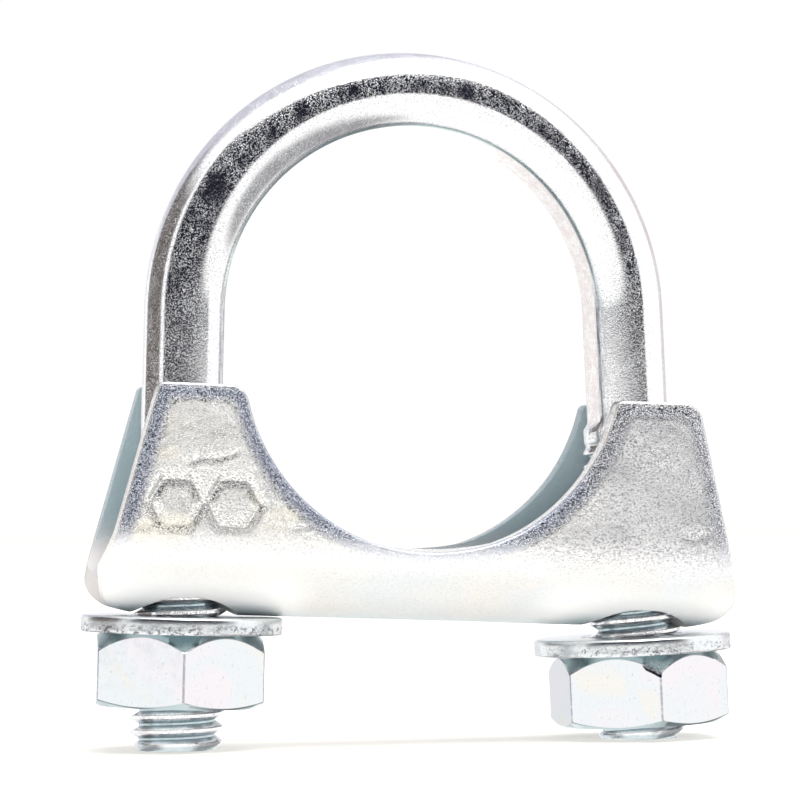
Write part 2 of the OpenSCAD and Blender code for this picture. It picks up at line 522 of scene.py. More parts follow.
def saddle_border():
    """Four sides of the flat blank, as (x, distance round the channel) points."""
    left, top, right = ([np.stack([s[:, 0], unrolled(s[:, 1])], 1) for s in saddle_sides()])
    flip = np.array([1, -1])
    columns = crowded(SADDLE_COLUMNS, 0.55)
    rows = crowded(SADDLE_ROWS, 0.72)
    whole_left = np.concatenate([(left * flip)[::-1], left[1:]])
    whole_right = np.concatenate([(right * flip)[::-1], right[1:]])
    front = even_points(top, columns)
    return (
        front * flip,
        front,
        even_points(whole_left, rows),
        even_points(whole_right, rows),
        columns,
        rows,
    )


def border_normals(loop):
    """Directions into the blank at the points of its closed border."""
    along = np.roll(loop, -1, axis=0) - np.roll(loop, 1, axis=0)
    along /= np.linalg.norm(along, axis=1)[:, None]
    normals = np.stack([along[:, 1], -along[:, 0]], 1)
    area = np.sum(loop[:, 0] * np.roll(loop[:, 1], -1) - loop[:, 1] * np.roll(loop[:, 0], -1))
    return -normals if area > 0 else normals


def blank_grid(back, front, left, right, columns, rows):
    """Grid of points that fills the blank between its four sides."""
    u, v = columns[:, None, None], rows[None, :, None]
    edges = (1 - v) * back[:, None] + v * front[:, None]
    edges = edges + (1 - u) * left[None, :] + u * right[None, :]
    corners = (1 - u) * (1 - v) * back[0] + u * (1 - v) * back[-1]
    corners = corners + (1 - u) * v * front[0] + u * v * front[-1]
    return edges - corners


def loop_order(columns, rows):
    """Grid indices of the border, once round: back, right, front, left."""
    loop = [(i, 0) for i in range(columns - 1)]
    loop += [(columns - 1, j) for j in range(rows - 1)]
    loop += [(i, rows - 1) for i in range(columns - 1, 0, -1)]
    loop += [(0, j) for j in range(rows - 1, 0, -1)]
    return loop


def bent(flat, depth):
    """Places points of the flat blank on the channel, at a depth below its outer face."""
    x, s = flat[..., 0], flat[..., 1]
    depth = np.broadcast_to(depth, x.shape)
    turn = np.clip(np.abs(s), 0, WEB_ARC) / BEND_R
    rise = np.maximum(np.abs(s) - WEB_ARC, 0)
    y = -np.sign(s) * (BEND_R - depth) * np.sin(turn)
    z = BEND_R - (BEND_R - depth) * np.cos(turn) + rise
    return np.stack([x, y, z], -1)


CORNER_BLEND = 0.3


def distance_to_border(points, loop):
    """Distance of each point to the border, smaller where two sides of it meet."""
    share = np.linalg.norm(np.roll(loop, -1, axis=0) - np.roll(loop, 1, axis=0), axis=1) / 2
    nearest = []
    for point in points.reshape(-1, 2):
        away = np.hypot(*(loop - point).T)
        near = away.min()
        total = np.sum(share * np.exp((near - away) / CORNER_BLEND))
        straight = math.sqrt(2 * math.pi * CORNER_BLEND * (near + 0.2))
        nearest.append(near - CORNER_BLEND * max(0.0, math.log(total / straight)))
    return np.array(nearest).reshape(points.shape[:-1])


STAMP_X = (-26.3, -20.5)
STAMP_H = 11.4
STAMP_R = 2.75
STAMP_GROOVE = 0.34
STAMP_DEPTH = 0.24


def stamp_depth(x, s):
    """Depth of the two stamped hexagon outlines on the front left ear."""
    height = BEND_R + s - WEB_ARC
    depth = np.zeros_like(x)
    for middle in STAMP_X:
        dx, dh = x - middle, height - STAMP_H
        reach = np.zeros_like(x)
        for k in range(3):
            turn = math.pi / 6 + k * math.pi / 3
            reach = np.maximum(reach, np.abs(dx * np.cos(turn) + dh * np.sin(turn)))
        off = (reach - STAMP_R * 0.87) / STAMP_GROOVE
        depth += STAMP_DEPTH * np.exp(-off ** 2)
        depth += 0.35 * STAMP_DEPTH * smooth_step(-off, 0.0, 1.6)
    return np.where(s > 0, depth, 0)


CREASES = (
    (-25.5, 15.4, -20.0, 16.6),
    (-31.6, 8.7, -27.8, 9.2),
    (-14.6, 9.2, -9.8, 9.4),
    (26.5, 9.3, 30.5, 9.9),
)
CREASE_DEPTH = 0.06
CREASE_WIDTH = 0.22


def crease_depth(x, s):
    """Depth of a few short wavering creases in the front face."""
    height = BEND_R + s - WEB_ARC
    depth = np.zeros_like(x)
    for x0, h0, x1, h1 in CREASES:
        place = (x - x0) / (x1 - x0)
        line_h = h0 + (h1 - h0) * place + 0.14 * np.sin(place * 8 + x0)
        fade = smooth_step(place, -0.05, 0.2) * (1 - smooth_step(place, 0.8, 1.05))
        depth += CREASE_DEPTH * fade * np.exp(-((height - line_h) / CREASE_WIDTH) ** 2)
    return np.where(s > 0, depth, 0)


def pressed_waves(flat):
    """Slight unevenness of the pressed faces."""
    waves = [
        noise.noise(Vector((x * 0.16, s * 0.2, 1.3))) * 0.05
        + noise.noise(Vector((x * 0.9, s * 1.3, 5.1))) * 0.005
        for x, s in flat.reshape(-1, 2)
    ]
    return np.array(waves).reshape(flat.shape[:-1])


SADDLE_SHARP = 40
FACE_INSET = 0.03

# Where the plating's colours, painted shade and painted light start and end: S is measured
# round the bend from the saddle's lowest line, X from its middle, the others are named for
# what they are measured from.
FLANGE_S = (WEB_ARC - 4.5, WEB_ARC + 2.5)
# Painted shade low on the bend near the slots, and a thinner one along the lowest line.
LOW_SHADE_S = (1.5, 5.2)
LOW_SHADE_LINE_S = (1.0, 4.0)
LOW_SHADE_LINE_TINT = 0.6
NEAR_SLOT = (6.0, 11.0)
# Painted light: the bend is paler low down, away from the middle.
PAINTED_LIGHT_S = (4.0, 11.0)
PAINTED_LIGHT_X = (10.0, 16.0)
BORDER_FADE = (0.1 * ROLL_W, 1.25 * ROLL_W)
BELOW_CREST = (-0.75, -0.25)
CREST_TINT = 0.8
NOTCH_TOP_X = (16.4, 18.6)
CUT_TINTS = ((0.04, 0.1), (0.18, 1.0))


def flat_blank():
    """Grid that fills the flat blank up to EDGE_R from its border, the border itself, the
    directions into the blank there, and the indices of the grid's outermost points."""
    back, front, left, right, columns, rows = saddle_border()
    order = loop_order(len(columns), len(rows))
    grid = blank_grid(back, front, left, right, columns, rows)
    loop = np.array([grid[place] for place in order])
    inward = border_normals(loop)
    at = {place: k for k, place in enumerate(order)}

    def moved(side, places):
        return np.array([side[n] + inward[at[p]] * EDGE_R for n, p in enumerate(places)])

    last_i, last_j = len(columns) - 1, len(rows) - 1
    grid = blank_grid(
        moved(back, [(i, 0) for i in range(last_i + 1)]),
        moved(front, [(i, last_j) for i in range(last_i + 1)]),
        moved(left, [(0, j) for j in range(last_j + 1)]),
        moved(right, [(last_i, j) for j in range(last_j + 1)]),
        columns,
        rows,
    )
    return grid, loop, inward, order


def face_depth(grid, off):
    """Depth of the outer face: rolled borders, slight waves, stamps and creases."""
    roll = ROLL_DEPTH * np.maximum(1 - off / ROLL_W, 0) ** ROLL_SHAPE
    waves = pressed_waves(grid) * smooth_step(off, 0.0, ROLL_W)
    marks = stamp_depth(grid[..., 0], grid[..., 1]) + crease_depth(grid[..., 0], grid[..., 1])
    return roll + np.maximum(waves, -FACE_INSET) + FACE_INSET + marks


def face_marks(grid, off, reach):
    """Values that the material reads at the outer face's points."""
    across, along = np.abs(grid[..., 0]), np.abs(grid[..., 1])
    # Painted shade low on the bend near the slots and along the lowest line.
    near = 1 - smooth_step(np.abs(across - SLOT_SPACING / 2), *NEAR_SLOT)
    lowest = near * (1 - smooth_step(along, *LOW_SHADE_S))
    low_shade_line = LOW_SHADE_LINE_TINT * (1 - smooth_step(along, *LOW_SHADE_LINE_S))
    marks = {
        "flange": smooth_step(along, *FLANGE_S),
        "border": smooth_step(off, *BORDER_FADE),
        "lowest": np.maximum(lowest, low_shade_line),
        # Painted light low on the bend, away from the middle.
        "pale": smooth_step(across, *PAINTED_LIGHT_X) * (1 - smooth_step(along, *PAINTED_LIGHT_S)),
        "cut": CREST_TINT * smooth_step(along - reach, *BELOW_CREST),
    }
    return {name: values.ravel() for name, values in marks.items()}


def close_edge(shell, ring, last, depth, loop, inward):
    """Sheet's edge from the outer face's ring to the inner face's: a rounded corner, the
    cut face, and a nearly sharp corner."""
    rear = loop[:, 1] < 0
    flange = smooth_step(np.abs(loop[:, 1]), *FLANGE_S)
    shoulder = smooth_step(np.abs(loop[:, 0]), *NOTCH_TOP_X)
    steps = []
    for t in np.radians([25, 50, 70, 90]):
        down = 1 - math.cos(t)
        steps.append((EDGE_R * (1 - math.sin(t)), depth + EDGE_R * down, down * shoulder))
    start = depth + EDGE_R
    for share, tint in CUT_TINTS:
        deep = start + (SHEET_T - EDGE_R_INNER - start) * share
        steps.append((0.0, deep, tint + (1 - tint) * shoulder))
    for t in np.radians([90, 60, 30]):
        deep = SHEET_T - EDGE_R_INNER * (1 - math.cos(t))
        steps.append((EDGE_R_INNER * (1 - math.sin(t)), deep, 1.0))
    for back_off, deep, cut in steps:
        points = bent(loop + inward * back_off, deep)
        # The rear cut edge takes the painted shade of the inner faces.
        new = shell.add(points, cut=cut * ~rear, inside=cut * rear, border=cut, flange=flange)
        shell.bridge(ring, new)
        ring = new
    shell.bridge(ring, last)


def build_saddle(material):
    """Pressed saddle: one sheet with rolled and rounded edges, bent into a channel."""
    shell = Shell("border", "flange", "lowest", "pale", "inside", "cut")
    grid, loop, inward, order = flat_blank()
    off = np.clip(distance_to_border(grid, loop) - EDGE_R, 0, ROLL_W * 1.3)
    depth = face_depth(grid, off)
    marks = face_marks(grid, off, loop[:, 1].max())
    outer = shell.add(bent(grid, depth).reshape(-1, 3), **marks)
    # The inner face carries the painted shade marked inside.
    inner = shell.add(
        bent(grid, SHEET_T).reshape(-1, 3), border=1.0, inside=1.0, flange=marks["flange"]
    )
    outer, inner = outer.reshape(depth.shape), inner.reshape(depth.shape)
    for i in range(depth.shape[0] - 1):
        for j in range(depth.shape[1] - 1):
            shell.face(outer[i, j], outer[i + 1, j], outer[i + 1, j + 1], outer[i, j + 1])
            shell.face(inner[i, j], inner[i, j + 1], inner[i + 1, j + 1], inner[i + 1, j])
    rim = tuple(np.transpose(order))
    close_edge(shell, outer[rim], inner[rim], depth[rim], loop, inward)
    place = Matrix.Translation((0, 0, -SADDLE_DROP)) @ Matrix.Rotation(SADDLE_TILT, 4, "Y")
    piece = mesh_piece(
        "pressed_saddle", shell, "saddle", "saddle", material, place, SADDLE_SHARP
    )
    cut_slots(piece, place)
    return piece


def slot_cutter(side, place):
    """Closed stadium prism that cuts one leg slot through the web."""
    shell = Shell()
    r = SLOT_W / 2
    reach = SLOT_L / 2 - r
    half = np.linspace(-math.pi / 2, math.pi / 2, 33)
    right = np.stack([reach + r * np.cos(half), r * np.sin(half)], 1)
    outline = np.concatenate([right, -right])
    rings = []
    for z in (-1.0, BEND_R):
        rings.append(shell.add([(x + side * SLOT_SPACING / 2, y, z) for x, y in outline]))
    shell.bridge(*rings)
    for ring in rings:
        shell.faces.append(tuple(int(k) for k in ring))
    mesh = bpy.data.meshes.new("slot_cutter")
    mesh.from_pydata(shell.points, [], shell.faces)
    mesh.transform(Matrix.Scale(MM, 4) @ place)
    close_up(mesh)
    cutter = bpy.data.objects.new("slot_cutter", mesh)
    bpy.context.scene.collection.objects.link(cutter)
    return cutter


def cut_slots(piece, place):
    """Cuts the two leg slots out of the saddle's web."""
    for side in SIDES.values():
        cutter = slot_cutter(side, place)
        cut = piece.modifiers.new("slot", "BOOLEAN")
        cut.operation = "DIFFERENCE"
        cut.solver = "EXACT"
        cut.object = cutter
        bpy.context.view_layer.update()
        graph = bpy.context.evaluated_depsgraph_get()
        mesh = bpy.data.meshes.new_from_object(piece.evaluated_get(graph))
        piece.modifiers.clear()
        piece.data = mesh
        bpy.data.objects.remove(cutter)
    shade(piece.data, SADDLE_SHARP)


# ---- washers ----

WASHER_COLUMNS = 144
WASHER_ROLL = 0.38
WASHER_BURR = 0.16
WASHER_HOLE_ROLL = 0.35
WASHER_WEAR = 0.02


def washer_profile(outer_r, thickness):
    """Half section of a punched washer: rolled edge on top, small burr edge below."""
    top, low, inner = WASHER_ROLL, WASHER_BURR, WASHER_HOLE_ROLL
    hole_r = WASHER_HOLE_R
    z = thickness / 2
    points = [(hole_r + 0.3, -z)]
    points += [(r, -z) for r in np.linspace(hole_r + 1.0, outer_r - low - 0.3, 8)]
    for t in np.radians([0, 30, 60, 90]):
        points.append((outer_r - low + low * math.sin(t), -z + low - low * math.cos(t)))
    points += [(outer_r, level * z) for level in (-0.55, -0.3, -0.05, 0.2)]
    for t in np.radians([90, 65, 40, 20, 0]):
        points.append((outer_r - top + top * math.sin(t), z - top + top * math.cos(t)))
    points += [(r, z) for r in np.linspace(outer_r - 0.8, hole_r + 1.0, 8)]
    for t in np.radians([0, 30, 60, 90]):
        points.append((hole_r + inner - inner * math.sin(t), z - inner + inner * math.cos(t)))
    points += [(hole_r, 0.0), (hole_r, -z + 0.3), (hole_r + 0.12, -z + 0.1)]
    return points


def build_washer(side, material):
    """Plain washer with rubbed rim."""
    node = f"{side}_washer"
    _, _, size = cad_box(node)
    outer_r = size[1] / 2
    thickness = (size[2] - 2 * outer_r * math.sin(LEG_LEAN)) / math.cos(LEG_LEAN)
    shell = Shell("rim")
    turn = np.linspace(0, 2 * math.pi, WASHER_COLUMNS, endpoint=False)
    rings = []
    for r, z in washer_profile(outer_r, thickness):
        ring = []
        for angle in turn:
            x, y = r * math.cos(angle), r * math.sin(angle)
            place = Vector((x * 0.8, y * 0.8, z * 1.5 + SIDES[side] * 9))
            wear = WASHER_WEAR * (1 + noise.noise(place))
            shrink = 1 - wear / outer_r if r > outer_r - 0.4 else 1
            ring.append((x * shrink, y * shrink, z * (1 - wear / thickness)))
        low_rim = (r > outer_r - 0.3) * smooth_step(-z / thickness, -0.25, 0.15)
        rings.append(shell.add(ring, rim=low_rim))
    for k in range(len(rings)):
        shell.bridge(rings[k - 1], rings[k])
    matrix = leg_matrix(side) @ Matrix.Translation(leg_point(side, node))
    return mesh_piece(node + "_plain", shell, node, node, material, matrix)


# ---- nuts ----

FLAT_COLUMNS = 26
CORNER_COLUMNS = 5
NUT_CORNER_R = 0.35


def hexagon_points(turn):
    """Points round a hexagon with rounded corners, in order of rising angle."""
    inner_flat = NUT_AF / 2 - NUT_CORNER_R
    corner_reach = inner_flat / math.cos(math.pi / 6)
    points = []
    for k in range(6):
        corner = turn + k * math.pi / 3
        centre = corner_reach * np.array([math.cos(corner), math.sin(corner)])
        swing = np.linspace(-math.pi / 6, math.pi / 6, CORNER_COLUMNS)
        for t in corner + swing:
            points.append(centre + NUT_CORNER_R * np.array([math.cos(t), math.sin(t)]))
        after = corner + math.pi / 3
        next_centre = corner_reach * np.array([math.cos(after), math.sin(after)])
        t = corner + math.pi / 6
        push = NUT_CORNER_R * np.array([math.cos(t), math.sin(t)])
        for f in np.linspace(0, 1, FLAT_COLUMNS)[1:-1]:
            points.append(centre + (next_centre - centre) * f + push)
    return np.array(points)


NUT_FACE_R = 8.3
NUT_TOP_SLOPE = math.tan(math.radians(50))
NUT_LOW_SLOPE = math.tan(math.radians(27))
NUT_EDGE = 0.08
NICK_DEPTH = 0.10
# Width of the painted dark reflection along the hexagon's corners.
CORNER_LINE = 0.10
NICK_SIDE = "right"
NICK_PLACE = -0.95
NICK_HALF = 0.85


def nick_at(outline, side):
    """Size, 0 to 1, of a nick in the upper edge at each point round a nut."""
    if side != NICK_SIDE:
        return np.zeros(len(outline))
    x, y = outline.T
    ragged = [0.7 + 0.8 * noise.noise(Vector((v * 3.1, 2.0, 0))) for v in x]
    span = np.exp(-((x - NICK_PLACE) / NICK_HALF) ** 4) * (y < 0)
    return np.clip(span * ragged, 0, 1)


def build_nut(side, material):
    """Hexagon nut with chamfered corners and an internal thread in step with its leg's."""
    node = f"{side}_nut"
    shell = Shell("chamfer", "nick", "corner")
    outline = hexagon_points(NUT_TURNS[side] - math.pi / 2)
    reach = np.hypot(outline[:, 0], outline[:, 1])
    turns = np.unwrap(np.arctan2(outline[:, 1], outline[:, 0]))
    ray = outline / reach[:, None]
    beside = np.sqrt(np.maximum(reach ** 2 - NUT_AF ** 2 / 4, 0))
    # Where the painted dark reflection along the corners goes.
    corner = np.exp(-(((beside.max() - beside) / CORNER_LINE) ** 2))
    middle = leg_point(side, node).z
    low, high = middle - NUT_H / 2, middle + NUT_H / 2

    def ring_at(radii, heights, chamfer=0.0, nicked=0.0):
        radii = np.broadcast_to(radii, reach.shape) - NICK_DEPTH * nicked
        heights = np.broadcast_to(heights, reach.shape)
        points = np.column_stack([ray * radii[:, None], heights])
        return shell.add(points, chamfer=chamfer, nick=nicked, corner=corner * (1 - chamfer))

    def radius(height, along):
        worn = np.maximum(thread_radius(along) + THREAD_PLAY, NUT_MINOR_R)
        near_face = np.minimum(height - low, high - height)
        sink = NUT_SINK_R - near_face * (NUT_SINK_R - NUT_MINOR_R) / (2 * NUT_SINK_H)
        return np.maximum(worn, sink)

    low_drop = np.maximum(reach - NUT_FACE_R, 0.02) * NUT_LOW_SLOPE
    top_drop = np.maximum(reach - NUT_FACE_R, 0.02) * NUT_TOP_SLOPE
    nick = nick_at(outline, side)
    edge = NUT_EDGE
    # The chamfer values also set the painted shade on both chamfers.
    rings = [
        ring_at(NUT_SINK_R + 0.1, low),
        ring_at(np.minimum(NUT_FACE_R, reach - 0.12), low, 0.8),
        ring_at(reach - edge, low + low_drop * 0.96, 0.8),
        ring_at(reach, low + low_drop + edge),
        ring_at(reach, low + low_drop + 3 * edge),
        ring_at(reach, low + (low_drop + NUT_H - top_drop) / 2),
        ring_at(reach, high - top_drop - 8 * edge),
        ring_at(reach, high - top_drop - 4 * edge, nicked=0.12 * nick),
        ring_at(reach, high - top_drop - edge, nicked=nick),
        ring_at(reach - 0.06, high - top_drop * 0.98, nicked=nick),
        ring_at(reach - 0.16, high - top_drop * 0.92, 1.0, 0.5 * nick),
        ring_at(np.minimum(NUT_FACE_R, reach - 0.2), high, 1.0),
        ring_at(NUT_SINK_R + 0.1, high),
    ]
    for first, second in zip(rings, rings[1:]):
        shell.bridge(first, second)
    bottom, top = thread_wall(shell, turns, 1, low, high, radius)
    shell.bridge(rings[-1], top)
    shell.bridge(bottom, rings[0])
    return mesh_piece(
        node + "_m10", shell, node, node, material, leg_matrix(side), 26
    )


# ---- materials ----

class Tree:
    """Short forms for building a node tree."""

    def __init__(self, tree):
        self.tree = tree

    def new(self, kind):
        return self.tree.nodes.new("ShaderNode" + kind)

    def link(self, source, target):
        self.tree.links.new(source, target)

    def ramp(self, value, low, high, start=0.0, end=1.0):
        """Maps low..high of a value smoothly to start..end."""
        node = self.new("MapRange")
        node.interpolation_type = "SMOOTHSTEP"
        self.link(value, node.inputs["Value"])
        for name, number in zip(("From Min", "From Max", "To Min", "To Max"),
                                (low, high, start, end)):
            node.inputs[name].default_value = number
        return node.outputs["Result"]

    def math(self, operation, a, b=0.0):
        """One arithmetic step on one or two values."""
        node = self.new("Math")
        node.operation = operation
        for socket, value in zip(node.inputs, (a, b)):
            if isinstance(value, (int, float)):
                socket.default_value = value
            else:
                self.link(value, socket)
        return node.outputs[0]

    def mix(self, factor, a, b):
        """Mixes two colours."""
        node = self.new("Mix")
        node.data_type = "RGBA"
        self.link(factor, node.inputs["Factor"])
        for socket, colour in zip(node.inputs[6:8], (a, b)):
            if isinstance(colour, tuple):
                socket.default_value = (*colour, 1)
            else:
                self.link(colour, socket)
        return node.outputs[2]


class Surface(Tree):
    """Short forms for building one material."""

    def __init__(self, name):
        self.material = bpy.data.materials.new(name)
        self.material.use_nodes = True
        super().__init__(self.material.node_tree)
        self.shader = self.tree.nodes["Principled BSDF"]
        self.place = self.new("TexCoord").outputs["Object"]

    def scaled(self, stretch):
        """Object coordinates in millimetres, stretched per axis."""
        node = self.new("VectorMath")
        node.operation = "MULTIPLY"
        node.inputs[1].default_value = [s / MM for s in stretch]
        self.link(self.place, node.inputs[0])
        return node.outputs[0]

    def across(self):
        """Distance to the right of the middle, in millimetres."""
        node = self.new("SeparateXYZ")
        self.link(self.scaled((1, 1, 1)), node.inputs[0])
        return node.outputs["X"]

    def mark(self, name):
        """Value stored at the piece's points."""
        node = self.new("Attribute")
        node.attribute_name = name
        return node.outputs["Fac"]

    def noise(self, scale, detail=3.0, rough=0.55, stretch=(1, 1, 1), warp=0.0):
        """Noise whose features are about 1 / scale millimetres."""
        node = self.new("TexNoise")
        node.inputs["Scale"].default_value = scale
        node.inputs["Detail"].default_value = detail
        node.inputs["Roughness"].default_value = rough
        node.inputs["Distortion"].default_value = warp
        self.link(self.scaled(stretch), node.inputs["Vector"])
        return node.outputs["Fac"]

    def bump(self, height, distance, strength=1.0, normal=None):
        """Bumps the surface by a height of 0 to 1 over a distance in millimetres."""
        node = self.new("Bump")
        node.inputs["Strength"].default_value = strength
        node.inputs["Distance"].default_value = distance * MM
        self.link(height, node.inputs["Height"])
        if normal is not None:
            self.link(normal, node.inputs["Normal"])
        return node.outputs["Normal"]

    def finish(self, colour, rough, normal, metallic=1.0):
        """Connects the finished channels to the shader."""
        self.shader.inputs["Metallic"].default_value = metallic
        self.link(colour, self.shader.inputs["Base Color"])
        self.link(rough, self.shader.inputs["Roughness"])
        self.link(normal, self.shader.inputs["Normal"])
        return self.material


def rod_zinc():
    """Bright plating on drawn rod: scattered specks, a painted dark blue-grey reflection along the
    flat's edges, and painted shade in the thread's roots and at the cut ends.
    """
    n = Surface("rod_zinc")
    speck = n.noise(7.0, 2, 0.7)
    grain = n.noise(5.0, 3, 0.6)
    patch = n.noise(0.42, 3, 0.6, (1, 1, 0.6), 0.5)
    pits = n.math("MULTIPLY", n.ramp(speck, 0.54, 0.64), n.ramp(patch, 0.36, 0.58, 0.35, 1.0))
    tint = n.mix(n.ramp(patch, 0.42, 0.60), (0.86, 0.85, 0.86), (0.93, 0.94, 0.95))
    colour = n.mix(n.ramp(grain, 0.36, 0.52), (0.78, 0.78, 0.80), tint)
    rubbed = n.ramp(n.noise(1.1, 4, 0.65, (1, 0.5, 1)), 0.44, 0.60)
    colour = n.mix(n.mark("flat"), colour, n.mix(rubbed, (0.90, 0.82, 0.79), (1.0, 0.98, 0.94)))
    # Painted dark reflection: a blue-grey line along the flat's edges, darker and streaked on the legs.
    drawn = n.ramp(n.noise(2.6, 3, 0.6, (1, 1, 0.12)), 0.36, 0.62)
    edge = n.mix(n.mark("leg"), (0.50, 0.60, 0.62), n.mix(drawn, (0.20, 0.22, 0.25), (0.60, 0.62, 0.66)))
    colour = n.mix(n.mark("edge"), colour, edge)
    # Painted shade: blue-grey in the thread's roots and at the cut ends, set by the groove value.
    groove = n.mark("groove")
    colour = n.mix(n.ramp(groove, 0.1, 1.0), colour, (0.50, 0.58, 0.61))
    rough = n.ramp(pits, 0.0, 1.0, 0.09, 0.22)
    normal = n.bump(pits, 0.011, 1.0, n.bump(grain, 0.005, 1.0))
    return n.finish(colour, rough, normal)


def sheet_zinc():
    """Plating on pressed sheet: fine-grained flanges, dark speckled borders, a smooth bend with painted
    light low on it, painted shade near the slots, along the lowest line and on the inner faces, and
    painted shade towards the right.
    """
    n = Surface("sheet_zinc")
    border = n.mark("border")
    flange = n.mark("flange")
    inside = n.mark("inside")
    grain = n.noise(5.6, 3, 0.75, (0.75, 1.0, 1.2), 0.2)
    fine = n.noise(7.0, 2, 0.7)
    patch = n.noise(0.13, 2, 0.5, warp=0.6)
    warm = n.noise(0.10, 2, 0.5, (1, 1, 1.6), 0.4)
    pits = n.ramp(grain, 0.38, 0.52)
    web = n.mix(n.ramp(patch, 0.38, 0.62), (0.455, 0.475, 0.485), (0.49, 0.48, 0.46))
    web = n.mix(pits, (0.40, 0.41, 0.42), web)
    # Painted light: paler grey low on the bend, away from the middle.
    web = n.mix(n.mark("pale"), web, (0.63, 0.64, 0.64))
    # Painted shade: blue-grey near the slots and along the lowest line.
    web = n.mix(n.mark("lowest"), web, (0.40, 0.50, 0.53))
    # Painted shade: the front face, its pits and its borders grow darker towards the right, broken up by
    # noise; the warm patches fade out with it.
    painted_side_shade = n.math("ADD", n.across(), n.ramp(patch, 0.3, 0.7, -9.0, 9.0))
    painted_side_shade = n.ramp(painted_side_shade, 0.0, 26.0, 0.0, 0.9)
    raised = n.mix(painted_side_shade, (0.97, 0.96, 0.93), (0.83, 0.83, 0.84))
    face = n.mix(pits, n.mix(painted_side_shade, (0.60, 0.59, 0.60), (0.22, 0.22, 0.25)), raised)
    warm = n.math("MULTIPLY", n.ramp(warm, 0.58, 0.74), n.ramp(painted_side_shade, 0.0, 0.3, 1.0, 0.0))
    face = n.mix(warm, face, (0.94, 0.90, 0.80))
    colour = n.mix(flange, web, face)
    dark = n.mix(painted_side_shade, (0.31, 0.35, 0.46), (0.36, 0.37, 0.41))
    light = n.mix(painted_side_shade, (0.74, 0.77, 0.85), (0.93, 0.93, 0.95))
    edge = n.mix(n.ramp(fine, 0.40, 0.62), dark, light)
    rim = n.math("MULTIPLY", flange, n.ramp(border, 0.0, 1.0, 1.0, 0.0))
    colour = n.mix(rim, colour, edge)
    # Painted shade: the flanges' inner faces and the rear cut edge turn dark blue-grey; the web's inner
    # face gets a lighter grey.
    colour = n.mix(inside, colour, n.mix(flange, (0.56, 0.54, 0.54), (0.31, 0.40, 0.43)))
    streak = n.noise(2.6, 3, 0.6)
    cut = n.mix(n.ramp(streak, 0.35, 0.6), (0.80, 0.78, 0.74), (0.98, 0.96, 0.91))
    colour = n.mix(n.mark("cut"), colour, cut)
    matt = n.ramp(flange, 0.0, 1.0, 0.38, 0.14)
    rough = n.math("ADD", matt, n.ramp(n.noise(0.8, 4, 0.6), 0.35, 0.7, -0.02, 0.05))
    tall = n.math("MULTIPLY", flange, n.ramp(rim, 0.0, 1.0, 1.0, 0.35))
    height = n.math("MULTIPLY", pits, n.ramp(tall, 0.0, 1.0, 0.06, 1.0))
    sparse = n.math("MULTIPLY", n.ramp(fine, 0.52, 0.62), n.ramp(rim, 0.0, 1.0, 0.25, 1.0))
    normal = n.bump(sparse, 0.014, 1.0, n.bump(height, 0.028, 1.0))
    metal = n.math("MULTIPLY", n.ramp(inside, 0.0, 1.0, 1.0, 0.25), n.ramp(flange, 0.0, 1.0, 0.06, 1.0))
    n.link(metal, n.shader.inputs["Metallic"])
    return n.finish(colour, rough, normal)


def washer_zinc():
    """Bright plating with small dark rub marks low on the rim."""
    n = Surface("washer_zinc")
    rub = n.noise(1.7, 5, 0.75, (1, 1, 1.6), 0.4)
    where = n.noise(0.30, 2, 0.5)
    grain = n.noise(4.0, 3, 0.6)
    worn = n.math("MULTIPLY", n.ramp(rub, 0.51, 0.57), n.ramp(where, 0.40, 0.54, 0.1, 1.0))
    worn = n.math("MULTIPLY", n.mark("rim"), worn)
    tint = n.mix(n.ramp(grain, 0.4, 0.6), (0.70, 0.74, 0.77), (0.78, 0.79, 0.79))
    colour = n.mix(worn, tint, (0.26, 0.25, 0.29))
    rough = n.ramp(worn, 0.0, 1.0, 0.26, 0.45)
    normal = n.bump(grain, 0.008, 0.8, n.bump(worn, 0.012, 0.6))
    return n.finish(colour, rough, normal)


def nut_zinc():
    """Pale plating with faint blue, pink and yellow colours, painted blue-grey shade on both chamfers,
    strongest on the top one, and a painted dark reflection along the corners.
    """
    n = Surface("nut_zinc")
    film = n.noise(0.14, 2, 0.5, warp=0.5)
    grain = n.noise(3.4, 4, 0.6, (1.6, 1.6, 0.4))
    warm = n.mix(n.ramp(film, 0.46, 0.66), (0.665, 0.70, 0.73), (0.71, 0.69, 0.72))
    cool = n.mix(n.ramp(film, 0.28, 0.46), (0.71, 0.70, 0.665), warm)
    colour = n.mix(n.ramp(grain, 0.28, 0.44), (0.63, 0.65, 0.68), cool)
    # Painted shade: both chamfers turn dark blue-grey, the top one most.
    colour = n.mix(n.mark("chamfer"), colour, (0.36, 0.46, 0.48))
    ragged = n.ramp(n.noise(2.4, 3, 0.6), 0.30, 0.55, 0.35, 0.85)
    spots = n.ramp(n.noise(2.6, 3, 0.6), 0.62, 0.70, 0.0, 0.35)
    colour = n.mix(spots, colour, (0.40, 0.40, 0.44))
    # Painted dark reflection: a ragged dark line along the hexagon's rounded corners.
    line = n.math("MULTIPLY", n.ramp(n.mark("corner"), 0.5, 1.0), ragged)
    colour = n.mix(line, colour, (0.30, 0.28, 0.33))
    worn = n.mix(n.ramp(n.noise(4.0, 3, 0.7), 0.42, 0.56), (0.12, 0.12, 0.14), (0.72, 0.72, 0.74))
    colour = n.mix(n.mark("nick"), colour, worn)
    rough = n.ramp(n.noise(0.9, 4, 0.6), 0.35, 0.7, 0.05, 0.09)
    rough = n.math("ADD", rough, n.ramp(n.mark("nick"), 0.0, 0.6, 0.0, 0.6))
    normal = n.bump(grain, 0.004, 0.8)
    return n.finish(colour, rough, normal)


# ---- studio ----

